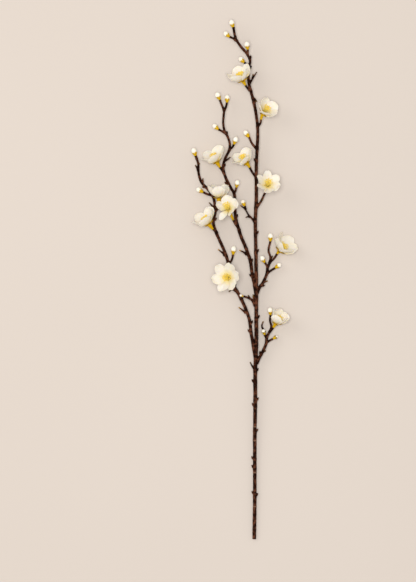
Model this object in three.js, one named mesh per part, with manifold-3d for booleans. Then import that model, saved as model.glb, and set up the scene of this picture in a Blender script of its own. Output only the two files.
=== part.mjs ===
// A plum blossom branch, cut and laid down on its lowest petals and its cut end.
//
// Millimetres, +Z up, resting on z = 0. The stem runs along +Y from the cut end to the tip. The origin is
// the bottom centre of the whole branch. Turns are degrees in the XY plane from +X towards +Y, and rises
// are degrees from that plane towards +Z.

import * as THREE from 'three';
import { mergeVertices } from 'three/addons/utils/BufferGeometryUtils.js';
import Module from 'manifold-3d';

// ---- driving dimensions ----

const BRANCH_LENGTH = 550;        // cut end to the tip of the highest bud
const SEAT = 0.3;                 // gap between two pieces that touch
const WELD = 1e-4;                // points closer than this are one

const LIMB_FACETS = 2;            // straight facets between two bends of a limb
const TWIG_FACETS = 1;
const STEM_SIDES = 8;
const SHOOT_SIDES = 6;
const TWIG_SIDES = 5;
const SNAG_SIDES = 4;

const TWIG_RADII = [1.45, 1.2, 1.2];     // root, middle and the collar that carries a bud or bloom
const SNAG_RADII = [1.25, 1, 0.65];
const KNOB = {
  sides: 3,
  radii: [1.5, 0.6],
  stands: 1.3,                    // how far its tip stands off the bark
  leans: 2.2,                     // and how far it leans towards the limb's tip
};
const WORN_FLAT = { width: 20, length: 40, depth: 10 };    // the ground cut from under the cut end

const CALYX = {
  stalk: 2,                       // length of its foot, along the twig, where the bloom has no other
  radii: [1.2, 1.7, 2.2],         // foot, waist and cup
  waist: 0.7,                     // how far below the cup the waist lies, as a share of the neck
  shoulder: 1.2,                  // depth of the cup
};
const SEPAL = { count: 5, reach: 6.4, thick: 0.7, drop: 0.25, clear: 8 };
const PETAL = {
  root: 2,                        // radius of the receptacle that the petals grow from
  floor: 0.75,                    // its middle, above the calyx
  breadth: 0.82,                  // width as a share of the length, on a bloom of five
  outline: [0.05, 0.62],          // start and run of the half sine wave that widens the petal
  roundness: 0.3,                 // how far the corners of the tip fall short of its middle
  cup: 0.14,                      // how far both edges rise, as a share of the half width
  twist: 0.22,                    // how far one edge rises and the other sinks
  thick: 0.8,
  rows: 3,
  columns: 4,
};
const DROOPING = { lean: 100, breadth: 0.72 };
const DOME = { sides: 8, radii: [1.5, 1.2], height: 0.7, sunk: 0.3 };
const STAMEN = {
  count: 8,
  root: 0.75,                     // distance of its foot from the axis
  length: 8.2,
  shorter: 0.85,                  // length of every third one, as a share
  leans: [15, 24],
  heights: [0, 0.78, 0.94],       // foot, top of the filament and end of the anther, as shares
  radii: [0.38, 0.3, 0.62],
  sides: 3,
};

// A closed bud. Each ring is [up, radius, radius between the sepal teeth, drop between them].
const BUD_RINGS = [
  [0, 1.15, 1.15, 0], [1.4, 1.75, 1.6, 0], [3.7, 2.75, 2.3, 1.3], [3.9, 2.6, 2.3, 1.2],
  [5.4, 2.85, 2.7, 0], [7.2, 2.15, 1.95, 0], [8.3, 0.8, 0.7, 0],
];

// ---- the routes of the wood: x, y, z and radius at each bend ----

const LIMBS = {
  stem: {
    sides: STEM_SIDES,
    bends: [
      [11, -BRANCH_LENGTH / 2, 1.6, 2.05], [11.5, -233, 3, 2], [11.5, -169.5, 5, 2], [12, -127, 7, 2.1],
      [12, -95, 8, 2.15], [13, -69, 9, 2.2], [13, -31.5, 10, 2.1], [13, -5.5, 11, 2.05],
      [12.5, 31.5, 12, 1.9], [12, 63.5, 12.5, 1.95], [13, 84.5, 12.5, 2], [13, 121.5, 12.5, 1.75],
      [14.5, 158.5, 13, 1.7], [12, 180, 13, 1.65], [8, 197, 13, 1.65], [5, 209.5, 13, 1.65],
      [5, 224.5, 14, 1.55], [6.5, 231.5, 14, 1.5], [3.5, 238.5, 14, 1.45], [-4, 247.5, 15, 1.35],
      [-9, 256, 15, 1.3], [-11.2, 266.7, 15.5, 1.45],
    ],
    // how far along each dormant bud stands, as a share of the length, and its angle round the stem
    knobs: [
      [0.051, 0], [0.053, 180], [0.08, 180], [0.105, 0], [0.136, 180], [0.143, 0], [0.171, 180],
      [0.189, 0], [0.24, 180], [0.275, 0], [0.31, 180], [0.379, 0], [0.407, 0], [0.46, 10],
      [0.53, 170], [0.58, 0], [0.68, 180], [0.76, 10], [0.83, 0],
    ],
  },
  leftShoot: {
    sides: SHOOT_SIDES,
    bends: [
      [12, -82.5, 8.5, 1.9], [9.5, -67.5, 9.5, 1.85], [7.5, -56, 10, 1.85], [6, -43.5, 10.5, 1.85],
      [3, -33.5, 11, 1.8], [-2.5, -21, 11, 1.8], [-7, -12.5, 10.5, 1.8], [-11, -5.5, 10, 1.8],
      [-14, 5.5, 9, 1.8], [-16.5, 17, 9, 1.8], [-19.5, 27.5, 9.5, 1.75], [-26, 42.5, 10, 1.7],
      [-29.5, 50.5, 10, 1.65], [-32.5, 61.5, 9, 1.65], [-30.5, 71, 8.5, 1.6], [-31, 80.5, 8, 1.55],
      [-33, 89, 7, 1.55], [-38.5, 96.5, 7, 1.5], [-45, 103.5, 9, 1.45], [-48, 113, 11, 1.4],
      [-48.5, 123.5, 13, 1.35], [-51, 131, 13.5, 1.45],
    ],
    knobs: [[0.1, 180], [0.33, 10], [0.47, 170], [0.7, 0]],
  },
  middleShoot: {
    sides: SHOOT_SIDES,
    bends: [
      [12.5, -14, 11, 1.9], [10.5, -2, 12, 1.9], [8.5, 7.5, 12.5, 1.9], [7, 19, 13, 1.9],
      [4.5, 27, 13.3, 1.9], [1.5, 35, 13.5, 1.9], [-2.5, 44.5, 13.5, 1.85], [-6, 55, 13.5, 1.8],
      [-9, 67.5, 12, 1.7], [-9.5, 80.5, 10, 1.65], [-10.5, 91.5, 8, 1.65], [-15, 99.5, 6, 1.6],
      [-19, 107.5, 6.5, 1.55], [-21.5, 116, 7.5, 1.5], [-22, 121.5, 9, 1.45], [-20, 128.5, 10, 1.45],
      [-16, 137, 11, 1.4], [-15, 143.5, 12, 1.4], [-17, 151, 12.5, 1.35], [-20.5, 157.5, 13, 1.35],
      [-22, 166, 13.5, 1.3], [-21.5, 174.5, 14, 1.3], [-21, 179.5, 14, 1.3],
    ],
    knobs: [[0.14, 0], [0.36, 10], [0.52, 180], [0.84, 10]],
  },
  upperSpray: {
    sides: TWIG_SIDES,
    bends: [
      [14, -14, 10.5, 1.8], [16.5, -8, 10, 1.75], [20, -3, 9.5, 1.75], [24, 6, 8.5, 1.65],
      [25, 12.5, 7.5, 1.6], [27.5, 19, 6.5, 1.5],
    ],
    knobs: [[0.3, 0]],
  },
  lowerSpray: {
    sides: TWIG_SIDES,
    bends: [
      [13.5, -89, 8, 1.8], [16.5, -82, 8.5, 1.75], [20.5, -74.5, 9, 1.7], [23.5, -67, 9.5, 1.7],
      [24, -61.5, 9.5, 1.65], [25, -58.5, 10, 1.55], [27, -55, 10, 1.45],
    ],
    knobs: [[0.25, 180]],
  },
};

// ---- twigs that carry a bloom: the route, and the bloom on its end ----

const BLOOM_TWIGS = [
  {
    bends: [[6, 200.5, 13], [3.5, 203, 14], [1.5, 206, 15]],
    bloom: { turn: 118, rise: 25, petals: 5, reach: 16.8, opening: [70, 22], neck: 4.3, roll: 43 },
  },
  {
    bends: [[14, 162, 13], [17.3, 165.8, 13.4], [17.9, 169.6, 14]],
    bloom: {
      turn: 50, rise: 43, petals: 5, reach: 15.6, opening: [64, 20],
      neck: 4.5, roll: -44, stalk: 4.5,
    },
  },
  {
    bends: [[-21, 113, 7.2], [-23.5, 116.5, 7.4], [-25.5, 119.5, 8.02]],
    bloom: { turn: 118, rise: 21, petals: 5, reach: 17.4, opening: [70, 32], neck: 5.2, roll: 0 },
  },
  {
    bends: [[12.5, 109, 12.5], [9, 113.5, 12.5], [6, 119, 12.5]],
    bloom: { turn: 126, rise: 28, petals: 5, reach: 15.2, opening: [70, 27], neck: 5.2, roll: 11 },
  },
  {
    bends: [[13, 76, 12.5], [17.5, 82.5, 13], [21, 89.5, 13.5], [22.6, 93.2, 14.6]],
    bloom: {
      turn: 77, rise: 61, petals: 6, reach: 14.9, opening: [72, 36],
      neck: 5.3, roll: -26, stalk: 3.8,
    },
  },
  {
    bends: [[-30.5, 72, 8.5], [-28, 75.5, 9.4], [-27, 80, 10.4]],
    bloom: { turn: 91, rise: 6, petals: 5, reach: 16.4, opening: [63, 11], neck: 4.8, roll: 52 },
  },
  {
    bends: [[-29, 49, 10], [-31, 52, 11.5], [-33, 54, 13]],
    bloom: { turn: 126, rise: 18, petals: 5, reach: 17.3, opening: [68, 25], neck: 5.5, roll: 4 },
  },
  {
    bends: [[-6.5, 56, 13.5], [-9.5, 59.5, 14.7], [-11.4, 63.5, 15.8]],
    bloom: {
      turn: 115, rise: 56, petals: 5, reach: 14.2, opening: [70, 34],
      neck: 5, roll: 96, stalk: 9, drooping: 3,
    },
  },
  {
    bends: [[27.5, 19, 6.5], [32, 23, 4.8], [35, 27.5, 3.29]],
    bloom: { turn: 47, rise: 33, petals: 5, reach: 18.6, opening: [58, 18], neck: 3.6, roll: 50 },
  },
  {
    bends: [[-9.5, -8, 10.3], [-11.3, -6.3, 11.4], [-12.5, -3.5, 12.5]],
    bloom: {
      turn: 170, rise: 71, petals: 6, reach: 17.6, opening: [72, 40],
      neck: 5.4, roll: 10, stalk: 6.3,
    },
  },
  {
    bends: [[27, -55, 10], [29.2, -53, 10.4], [31, -50.2, 10.8]],
    bloom: { turn: 62, rise: 32, petals: 5, reach: 15.4, opening: [54, 6], neck: 4, roll: 14 },
  },
];

// ---- twigs that carry a closed bud ----

const BUD_TWIGS = [
  {
    bends: [[-9, 256, 15], [-10.4, 261.6, 15.2], [-11.2, 266.7, 15.5]],
    bud: { turn: 110, rise: 5, size: 1 },
  },
  {
    bends: [[-9, 254.5, 15], [-11.5, 255.5, 14.5], [-15, 257, 14]],
    bud: { turn: 140, rise: -10, size: 0.95 },
  },
  { bends: [[4, 237, 14], [4, 240, 15], [4, 243.5, 16]], bud: { turn: 100, rise: 15, size: 1 } },
  { bends: [[5, 224.5, 14], [3, 228, 13], [0.5, 230, 12]], bud: { turn: 135, rise: -15, size: 0.95 } },
  {
    bends: [[-21, 179, 14], [-23.5, 185, 14], [-25.5, 190.5, 14.5]],
    bud: { turn: 115, rise: 10, size: 1 },
  },
  { bends: [[-21, 179, 14], [-19, 183.5, 13.5], [-18, 187.5, 13]], bud: { turn: 88, rise: -10, size: 1 } },
  {
    bends: [[-20, 155.5, 12.8], [-23.5, 157.5, 12.5], [-26.8, 159.3, 12]],
    bud: { turn: 140, rise: -10, size: 0.95 },
  },
  {
    bends: [[-15, 139, 11.2], [-12.4, 140.3, 12.6], [-10.7, 143.5, 14]],
    bud: { turn: 70, rise: 20, size: 1 },
  },
  {
    bends: [[13, 139, 12.7], [8.5, 144.5, 11.5], [5.5, 151, 10.5]],
    bud: { turn: 125, rise: -10, size: 1.05 },
  },
  {
    bends: [[-50, 128, 13.2], [-50.5, 129.5, 13.4], [-51, 131, 13.5]],
    bud: { turn: 110, rise: 5, size: 1.05 },
  },
  { bends: [[-33, 89.5, 7], [-38.5, 91, 6], [-43, 93, 6]], bud: { turn: 150, rise: -10, size: 1 } },
  { bends: [[-10.8, 91.5, 8], [-9, 94.5, 10], [-8, 98, 12]], bud: { turn: 80, rise: 20, size: 0.95 } },
  { bends: [[1.5, 74.5, 14], [1.4, 76, 13.6], [1, 78, 13]], bud: { turn: 115, rise: -20, size: 0.9 } },
  { bends: [[-16, 16, 9], [-13, 21.5, 9.5], [-11.5, 27, 10.5]], bud: { turn: 85, rise: 10, size: 1.05 } },
  {
    bends: [[27, 18, 6.5], [28, 23.5, 7.5], [26, 31.5, 8.5], [28, 41, 9.5]],
    bud: { turn: 90, rise: 5, size: 1 },
  },
  { bends: [[25, 10.5, 8], [24, 15.5, 9.5], [22, 18.5, 10.5]], bud: { turn: 120, rise: 15, size: 0.95 } },
  { bends: [[24.5, 7, 8.3], [28.5, 10, 7.8], [32.8, 12.7, 7.5]], bud: { turn: 35, rise: -5, size: 0.95 } },
  {
    bends: [[27, -55, 10], [29, -49.5, 10.5], [27.5, -43, 11], [28, -37, 12]],
    bud: { turn: 95, rise: 15, size: 0.95 },
  },
  {
    bends: [[24, -61, 9.6], [22.7, -59.7, 10.2], [22, -58, 10.8]],
    bud: { turn: 110, rise: 25, size: 0.75 },
  },
  {
    bends: [[23.5, -66.5, 9.5], [26.5, -64.5, 8.8], [30.5, -62.3, 8]],
    bud: { turn: 30, rise: -10, size: 0.7 },
  },
  {
    bends: [[11.5, -27.5, 10], [9, -22, 11], [6, -19.5, 12], [2, -18, 12.9], [-0.5, -17.3, 13.5]],
    bud: { turn: 160, rise: 5, size: 0.5 },
  },
];

// ---- bare twigs and broken snags ----

const BARE_TWIGS = [
  [[5.5, 207, 13], [9, 213, 12.5], [13.5, 220, 12]],
  [[8.5, 192, 13], [11, 192, 13.5], [13.5, 188.5, 14]],
  [[9, 213, 12.5], [9.5, 215.5, 12.7], [9.5, 217.8, 12.8]],
  [[11.5, 60.5, 12.5], [8, 65.5, 13], [5, 68.5, 13.5], [1, 75, 14], [-4, 79, 14.5]],
  [[7, 66.5, 13.2], [4, 67, 12.2], [2, 66, 11.6]],
  [[18, 83.5, 13], [19, 84.2, 13.6], [20, 85, 14.2]],
  [[-21, 126, 9.7], [-17.5, 127.5, 11], [-14.5, 130, 12]],
  [[3, 26.5, 13.3], [-0.5, 29.5, 13.8], [-5, 31.5, 14.3]],
  [[2, -35, 10.8], [-2, -31.5, 10], [-5.5, -29, 9.2]],
  [[-7, -13.5, 10.5], [-11, -10.5, 10], [-13.5, -10.5, 9.6], [-16, -12.5, 9.2]],
  [[-19, 25.5, 9.5], [-23.5, 29.5, 9], [-27.5, 32.5, 8.5]],
  [[-30.5, 74.5, 8.4], [-34, 79, 8], [-37, 82, 8]],
  [[-44, 101.5, 8.8], [-43.5, 104.5, 9.8], [-43.5, 107.5, 10.8]],
  [[-48.5, 116, 11.8], [-50, 119, 12], [-51.5, 121.5, 11.5]],
  [[-48.5, 120.5, 12.8], [-47.8, 122, 13.1], [-47, 123.5, 13.5]],
  [[7, -20.5, 11.7], [5.5, -18, 11.2], [4.5, -16, 11]],
  [[11.5, -22, 10.2], [10, -19.5, 10.6], [9.5, -17, 11]],
  [[28, 21.5, 7.2], [29, 23.5, 7.5], [30.5, 25.5, 7.8]],
  [[19.5, -3.5, 9.5], [22, -2, 10], [25, -1, 10.5]],
  [[20, -76, 9], [21.5, -75.5, 9.3], [23, -75, 9.5]],
  [[24, -62.5, 9.5], [21, -54, 6.5], [19, -48.5, 6], [20.5, -44, 6]],
  [[12, -97, 8], [9.5, -92.5, 8.5], [6.5, -87, 9]],
];

// ---- colours ----

const paint = (color, roughness) => new THREE.MeshStandardMaterial({ color, roughness, metalness: 0 });
const BARK = paint(0x2f1b12, 0.85);
const CALYX_GREEN = paint(0xb9921f, 0.7);
const PETAL_CREAM = paint(0xf5efe0, 0.75);
const STAMEN_YELLOW = paint(0xe8c95a, 0.7);
const BUD_CREAM = paint(0xefe6cf, 0.75);

// ---- solids ----

const wasm = await Module();
wasm.setup();

const UP = new THREE.Vector3(0, 0, 1);
const vector = ([x, y, z]) => new THREE.Vector3(x, y, z);
const radians = THREE.MathUtils.degToRad;

// The unit vector at a turn in the XY plane and a rise from it.
function heading(turn, rise) {
  const [a, b] = [radians(turn), radians(rise)];
  return new THREE.Vector3(Math.cos(b) * Math.cos(a), Math.cos(b) * Math.sin(a), Math.sin(b));
}

// A closed body through rings of the same number of points, each counter-clockwise seen from the last one.
function loft(rings) {
  const sides = rings[0].length;
  const faces = [];
  for (let ring = 0; ring < rings.length - 1; ring++) {
    for (let side = 0; side < sides; side++) {
      const here = ring * sides + side;
      const next = ring * sides + (side + 1) % sides;
      faces.push(here, next, next + sides, here, next + sides, here + sides);
    }
  }
  const last = (rings.length - 1) * sides;
  for (let side = 1; side < sides - 1; side++) {
    faces.push(0, side + 1, side, last, last + side, last + side + 1);
  }
  const geometry = new THREE.BufferGeometry().setFromPoints(rings.flat());
  geometry.setIndex(faces);
  return geometry;
}

function solid(geometry) {
  const welded = mergeVertices(geometry, WELD);
  const vertProperties = new Float32Array(welded.attributes.position.array);
  const triVerts = new Uint32Array(welded.index.array);
  return new wasm.Manifold(new wasm.Mesh({ numProp: 3, vertProperties, triVerts }));
}

const fuse = (geometries) => geometries.map(solid).reduce((whole, piece) => whole.add(piece));

function surfaceOf(manifold) {
  const { vertProperties, triVerts } = manifold.getMesh();
  const geometry = new THREE.BufferGeometry();
  geometry.setAttribute('position', new THREE.BufferAttribute(vertProperties, 3));
  geometry.setIndex(new THREE.BufferAttribute(triVerts, 1));
  geometry.computeVertexNormals();
  return geometry;
}

// ---- wood ----

const routeOf = (bends) => new THREE.CatmullRomCurve3(bends.map(vector), false, 'centripetal');

// The place on a route, with the directions ahead, to the right of it and up from both.
function frameOn(route, share) {
  const centre = route.getPoint(share);
  const forward = route.getTangent(share);
  const right = forward.clone().cross(UP).normalize();
  const up = right.clone().cross(forward);
  return { centre, forward, right, up };
}

// A round tapered limb along a route, with its radii evenly spread from root to tip.
function limb(route, radii, sides, facets) {
  return loft(Array.from({ length: facets + 1 }, (_, i) => {
    const { centre, right, up } = frameOn(route, i / facets);
    const radius = along(radii, i / facets);
    return Array.from({ length: sides }, (_side, side) => {
      const angle = (2 * Math.PI * (side + 0.5)) / sides;
      return centre.clone()
        .addScaledVector(right, radius * Math.cos(angle))
        .addScaledVector(up, -radius * Math.sin(angle));
    });
  }));
}

// Reads a list of values, evenly spread over 0 to 1, at any place between them.
function along(values, share) {
  const place = share * (values.length - 1);
  const before = Math.min(Math.floor(place), values.length - 2);
  return THREE.MathUtils.lerp(values[before], values[before + 1], place - before);
}

const twig = (bends, radii, sides) => limb(routeOf(bends), radii, sides, TWIG_FACETS * (bends.length - 1));

// A dormant bud that stands off a limb at an angle round it and leans towards its tip.
function knob(route, radii, [share, angle]) {
  const { centre, forward, right, up } = frameOn(route, share);
  const stands = along(radii, share) + KNOB.stands;
  const tip = centre.clone()
    .addScaledVector(right, stands * Math.cos(radians(angle)))
    .addScaledVector(up, stands * Math.sin(radians(angle)))
    .addScaledVector(forward, KNOB.leans);
  return limb(new THREE.LineCurve3(centre, tip), KNOB.radii, KNOB.sides, 1);
}

function branch() {
  const pieces = [];
  for (const { bends, knobs, sides } of Object.values(LIMBS)) {
    const route = routeOf(bends);
    const radii = bends.map((bend) => bend[3]);
    pieces.push(limb(route, radii, sides, LIMB_FACETS * (bends.length - 1)));
    for (const place of knobs) pieces.push(knob(route, radii, place));
  }
  for (const { bends } of [...BLOOM_TWIGS, ...BUD_TWIGS]) pieces.push(twig(bends, TWIG_RADII, TWIG_SIDES));
  for (const bends of BARE_TWIGS) pieces.push(twig(bends, SNAG_RADII, SNAG_SIDES));
  // The cut end is worn flat underneath, where it rests.
  const { width, length, depth } = WORN_FLAT;
  const [endX, endY] = LIMBS.stem.bends[0];
  const ground = new THREE.BoxGeometry(width, length, depth).translate(endX, endY, -depth / 2);
  ground.deleteAttribute('normal');
  ground.deleteAttribute('uv');
  return surfaceOf(fuse(pieces).subtract(solid(ground)));
}

// ---- petals and calyx ----

// The petals grow from the rim of a small round receptacle, all in one skin.
function petals({ petals: count, reach, opening, roll, drooping }) {
  const share = 360 / count;
  const width = PETAL.breadth * reach * Math.sqrt(5 / count);
  const perPetal = 2 * (PETAL.rows + 1) * (PETAL.columns + 1);
  const middle = perPetal * count;
  const points = [];
  const faces = [];
  for (let petal = 0; petal < count; petal++) {
    const droops = petal + 1 === drooping;
    points.push(...petalPoints({
      turn: roll + share * petal,
      share,
      length: reach,
      breadth: droops ? DROOPING.breadth * width : width,
      lean: droops ? [opening[0], DROOPING.lean] : opening,
    }));
    const place = (column, row) => perPetal * petal + 2 * (column * (PETAL.rows + 1) + row);
    faces.push(...petalFaces(place));
    for (let column = 0; column < PETAL.columns; column++) {
      const [here, next] = [place(column, 0), place(column + 1, 0)];
      faces.push(here, next, middle, next + 1, here + 1, middle + 1);
    }
  }
  for (const side of [0.5, -0.5]) points.push(new THREE.Vector3(0, 0, PETAL.floor + side * PETAL.thick));
  return surfaceOf(solid(new THREE.BufferGeometry().setFromPoints(points).setIndex(faces)));
}

// One petal's points: columns across it, each from the root to the tip, and in pairs, on its upper face
// and below. The midrib leaves the bloom's axis at angles that run from lean[0] to lean[1]. The root row
// lies on the receptacle's rim. The twist lays each petal over the next one's edge.
function petalPoints({ turn, share, length, breadth, lean }) {
  const [start, run] = PETAL.outline;
  const outward = heading(turn, 0);
  const sideways = heading(turn + 90, 0);
  const leanAt = (u) => radians(THREE.MathUtils.lerp(lean[0], lean[1], u));
  const points = [];
  for (let column = 0; column <= PETAL.columns; column++) {
    const v = (2 * column) / PETAL.columns - 1;
    const step = (length * (1 - PETAL.roundness * v * v)) / PETAL.rows;
    let [out, up] = [PETAL.root, PETAL.floor];
    for (const side of [0.5, -0.5]) {
      points.push(heading(turn + (share * v) / 2, 0).multiplyScalar(out).setZ(up + side * PETAL.thick));
    }
    for (let row = 1; row <= PETAL.rows; row++) {
      const u = row / PETAL.rows;
      const halfway = leanAt((row - 0.5) / PETAL.rows);
      out += step * Math.sin(halfway);
      up += step * Math.cos(halfway);
      const halfWidth = (breadth / 2) * Math.sin(Math.PI * (start + run * u * u));
      for (const side of [0.5, -0.5]) {
        const raised = side * PETAL.thick + halfWidth * (PETAL.cup * v * v + PETAL.twist * v);
        points.push(sideways.clone()
          .multiplyScalar(v * halfWidth)
          .addScaledVector(outward, out - Math.cos(leanAt(u)) * raised)
          .setZ(up + Math.sin(leanAt(u)) * raised));
      }
    }
  }
  return points;
}

// A petal's two faces, split into triangles alike, and its edge, left open at the root. place(column, row)
// is the index of a point on the upper face, and the point below it comes next.
function petalFaces(place) {
  const { rows, columns } = PETAL;
  const faces = [];
  for (let column = 0; column < columns; column++) {
    for (let row = 0; row < rows; row++) {
      const [a, b] = [place(column, row), place(column + 1, row)];
      const [c, d] = [place(column + 1, row + 1), place(column, row + 1)];
      faces.push(a, c, b, a, d, c);
      faces.push(a + 1, b + 1, c + 1, a + 1, c + 1, d + 1);
    }
  }
  const edge = [];
  for (let row = 0; row < rows; row++) edge.push(place(columns, row));
  for (let column = columns; column > 0; column--) edge.push(place(column, rows));
  for (let row = rows; row >= 0; row--) edge.push(place(0, row));
  for (let i = 0; i < edge.length - 1; i++) {
    faces.push(edge[i], edge[i + 1], edge[i + 1] + 1, edge[i], edge[i + 1] + 1, edge[i] + 1);
  }
  return faces;
}

// The calyx: a neck that bends from the twig's heading to the bloom's axis, widens into a cup and spreads
// its pointed sepals under the petals, like a star. backwards is the twig's heading, reversed, in the
// bloom's own frame.
function calyx(backwards, { neck, roll, opening, stalk = CALYX.stalk }) {
  const [narrow, waist, wide] = CALYX.radii;
  const spread = radians(opening[0] + SEPAL.clear);
  const flare = (SEPAL.reach - wide) / Math.tan(spread) - SEPAL.drop;
  // A ring whose points lie in turn between two sepals and on one.
  const star = (between, betweenUp, tip = between, tipUp = betweenUp) =>
    Array.from({ length: 2 * SEPAL.count }, (_, side) => {
      const [radius, up] = side % 2 ? [tip, tipUp] : [between, betweenUp];
      return heading(roll + (180 / SEPAL.count) * side, 0).multiplyScalar(radius).setZ(up);
    });
  const bent = new THREE.Quaternion().setFromUnitVectors(UP.clone().negate(), backwards);
  const foot = backwards.clone().multiplyScalar(stalk).setZ(backwards.z * stalk - neck);
  return surfaceOf(solid(loft([
    star(narrow, 0).map((point) => point.applyQuaternion(bent).add(foot)),
    star(waist, -CALYX.waist * neck),
    star(wide, -CALYX.shoulder),
    star(wide, -SEPAL.drop - SEPAL.thick, SEPAL.reach, flare - SEPAL.thick),
    star(wide, -SEPAL.drop, SEPAL.reach, flare),
    star(wide - SEPAL.drop, 0),
  ])));
}

// The stamens stand in a ring round the pistil, on a low dome.
function stamens({ roll }) {
  const floor = PETAL.floor + PETAL.thick / 2 + SEAT;
  const pieces = [loft([
    circle(DOME.radii[0], floor, DOME.sides),
    circle(DOME.radii[1], floor + DOME.height, DOME.sides),
  ])];
  for (let i = 0; i <= STAMEN.count; i++) {
    const isPistil = i === STAMEN.count;
    const turn = roll + (360 / STAMEN.count) * i;
    const lean = isPistil ? 0 : STAMEN.leans[i % 2];
    const length = STAMEN.length * (i % 3 ? 1 : STAMEN.shorter);
    const root = heading(turn, 0).multiplyScalar(isPistil ? 0 : STAMEN.root).setZ(floor + DOME.sunk);
    const leant = new THREE.Quaternion().setFromUnitVectors(UP, heading(turn, 90 - lean));
    pieces.push(loft(STAMEN.heights.map((height, ring) =>
      circle(STAMEN.radii[ring], height * length, STAMEN.sides)
        .map((point) => point.applyQuaternion(leant).add(root)))));
  }
  return surfaceOf(fuse(pieces));
}

const circle = (radius, height, sides) => Array.from({ length: sides }, (_, side) =>
  heading((360 / sides) * side, 0).multiplyScalar(radius).setZ(height));

// ---- buds ----

// A closed bud in its calyx. Five sepal teeth stand off the ball of petals, which their edges lobe.
function bud(size) {
  return surfaceOf(solid(loft(BUD_RINGS.map(([up, radius, between, drop]) =>
    Array.from({ length: 2 * SEPAL.count }, (_, side) => {
      const around = heading((180 / SEPAL.count) * side, 0);
      return side % 2
        ? around.multiplyScalar(between * size).setZ((up - drop) * size)
        : around.multiplyScalar(radius * size).setZ(up * size);
    })))));
}

// ---- assembly ----

const group = new THREE.Group();

// Puts a piece in its place, with its own +Z turned along an axis.
function place(name, geometry, material, position = new THREE.Vector3(), axis = UP) {
  const mesh = new THREE.Mesh(geometry, material);
  mesh.name = name;
  mesh.position.copy(position);
  mesh.quaternion.setFromUnitVectors(UP, axis);
  group.add(mesh);
}

place('branch', branch(), BARK);

BLOOM_TWIGS.forEach(({ bends, bloom }, i) => {
  const name = `bloom_${String(i + 1).padStart(2, '0')}`;
  const [before, end] = bends.slice(-2).map(vector);
  const twigHeading = end.clone().sub(before).normalize();
  const { turn, rise, neck, stalk = CALYX.stalk } = bloom;
  const axis = heading(turn, rise);
  const top = end.clone()
    .addScaledVector(twigHeading, SEAT + stalk)
    .addScaledVector(axis, neck);
  const toBloom = new THREE.Quaternion().setFromUnitVectors(UP, axis).invert();
  const backwards = twigHeading.negate().applyQuaternion(toBloom);
  place(`${name}_calyx`, calyx(backwards, bloom), CALYX_GREEN, top, axis);
  place(`${name}_petals`, petals(bloom), PETAL_CREAM, top, axis);
  place(`${name}_stamens`, stamens(bloom), STAMEN_YELLOW, top, axis);
});

BUD_TWIGS.forEach(({ bends, bud: { turn, rise, size } }, i) => {
  const axis = heading(turn, rise);
  const foot = vector(bends.at(-1)).addScaledVector(axis, SEAT);
  place(`bud_${String(i + 1).padStart(2, '0')}`, bud(size), BUD_CREAM, foot, axis);
});

export default group;
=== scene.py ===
"""The looks of a plum blossom branch that lies on a pale floor.

Tables are in millimetres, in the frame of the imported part: +Z up, the stem along +Y, and the branch
resting on z = 0. Turns are degrees in the XY plane from +X, and rises degrees from that plane.
"""

import math
import random
from collections import namedtuple

import bpy
import numpy as np
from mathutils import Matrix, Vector, noise
from mathutils.kdtree import KDTree


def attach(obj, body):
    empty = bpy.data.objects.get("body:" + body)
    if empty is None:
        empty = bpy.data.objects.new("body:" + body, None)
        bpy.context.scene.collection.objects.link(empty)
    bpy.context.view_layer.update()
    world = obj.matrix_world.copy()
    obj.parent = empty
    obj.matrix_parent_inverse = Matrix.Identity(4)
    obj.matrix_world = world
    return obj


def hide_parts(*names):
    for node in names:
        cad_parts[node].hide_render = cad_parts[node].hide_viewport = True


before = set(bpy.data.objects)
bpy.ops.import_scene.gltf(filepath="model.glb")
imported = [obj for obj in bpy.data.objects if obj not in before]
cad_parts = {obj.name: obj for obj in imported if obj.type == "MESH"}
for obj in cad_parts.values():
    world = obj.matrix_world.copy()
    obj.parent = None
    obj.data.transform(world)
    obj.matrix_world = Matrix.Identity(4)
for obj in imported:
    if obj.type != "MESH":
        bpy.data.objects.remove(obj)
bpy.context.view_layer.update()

MM = 0.001
UP = Vector((0, 0, 1))
PRESSED = 0.6  # below this height a blade is pressed softly against the floor
RIM_ANGLE = 55  # edges sharper than this are shaded as edges

# ---- camera and light

VIEW_CENTRE = (-38.1, -11.6, 12)  # what the camera looks straight down at
VIEW_HEIGHT = 615.8  # how much of the floor it sees, along +Y
CAMERA_AWAY = 3000
SENSOR = 36
VIEW_END = 50  # in metres
# each lamp's place and width in metres, its power in watts, and its colour
LAMPS = {
    "window": ((-1.7, 1.0, 1.7), 1.8, 14, (1.0, 0.975, 0.945)),
    "overhead": ((-0.1, 0.05, 2.7), 0.9, 56, (1.0, 0.985, 0.965)),
}
SKY, SKY_STRENGTH = (1.0, 0.975, 0.95, 1), 0.61

scene = bpy.context.scene
scene.view_settings.view_transform = "Standard"


def placed(name, data):
    piece = bpy.data.objects.new(name, data)
    scene.collection.objects.link(piece)
    return piece


camera = placed("camera", bpy.data.cameras.new("camera"))
camera.location = [c * MM for c in VIEW_CENTRE]
camera.location.z += CAMERA_AWAY * MM
camera.data.sensor_width = SENSOR
camera.data.lens = SENSOR * CAMERA_AWAY / VIEW_HEIGHT
camera.data.clip_end = VIEW_END
scene.camera = camera

for name, (place, width, power, colour) in LAMPS.items():
    data = bpy.data.lights.new(name, "AREA")
    data.shape, data.size, data.energy, data.color = "DISK", width, power, colour
    lamp = placed(name, data)
    lamp.location = place
    lamp.rotation_euler = (-Vector(place)).to_track_quat("-Z", "Y").to_euler()

world = bpy.data.worlds.new("studio")
scene.world = world
world.use_nodes = True
sky = world.node_tree.nodes["Background"].inputs
sky["Color"].default_value = SKY
sky["Strength"].default_value = SKY_STRENGTH

# ---- the routes of the wood: x, y, z and radius at each bend

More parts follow.
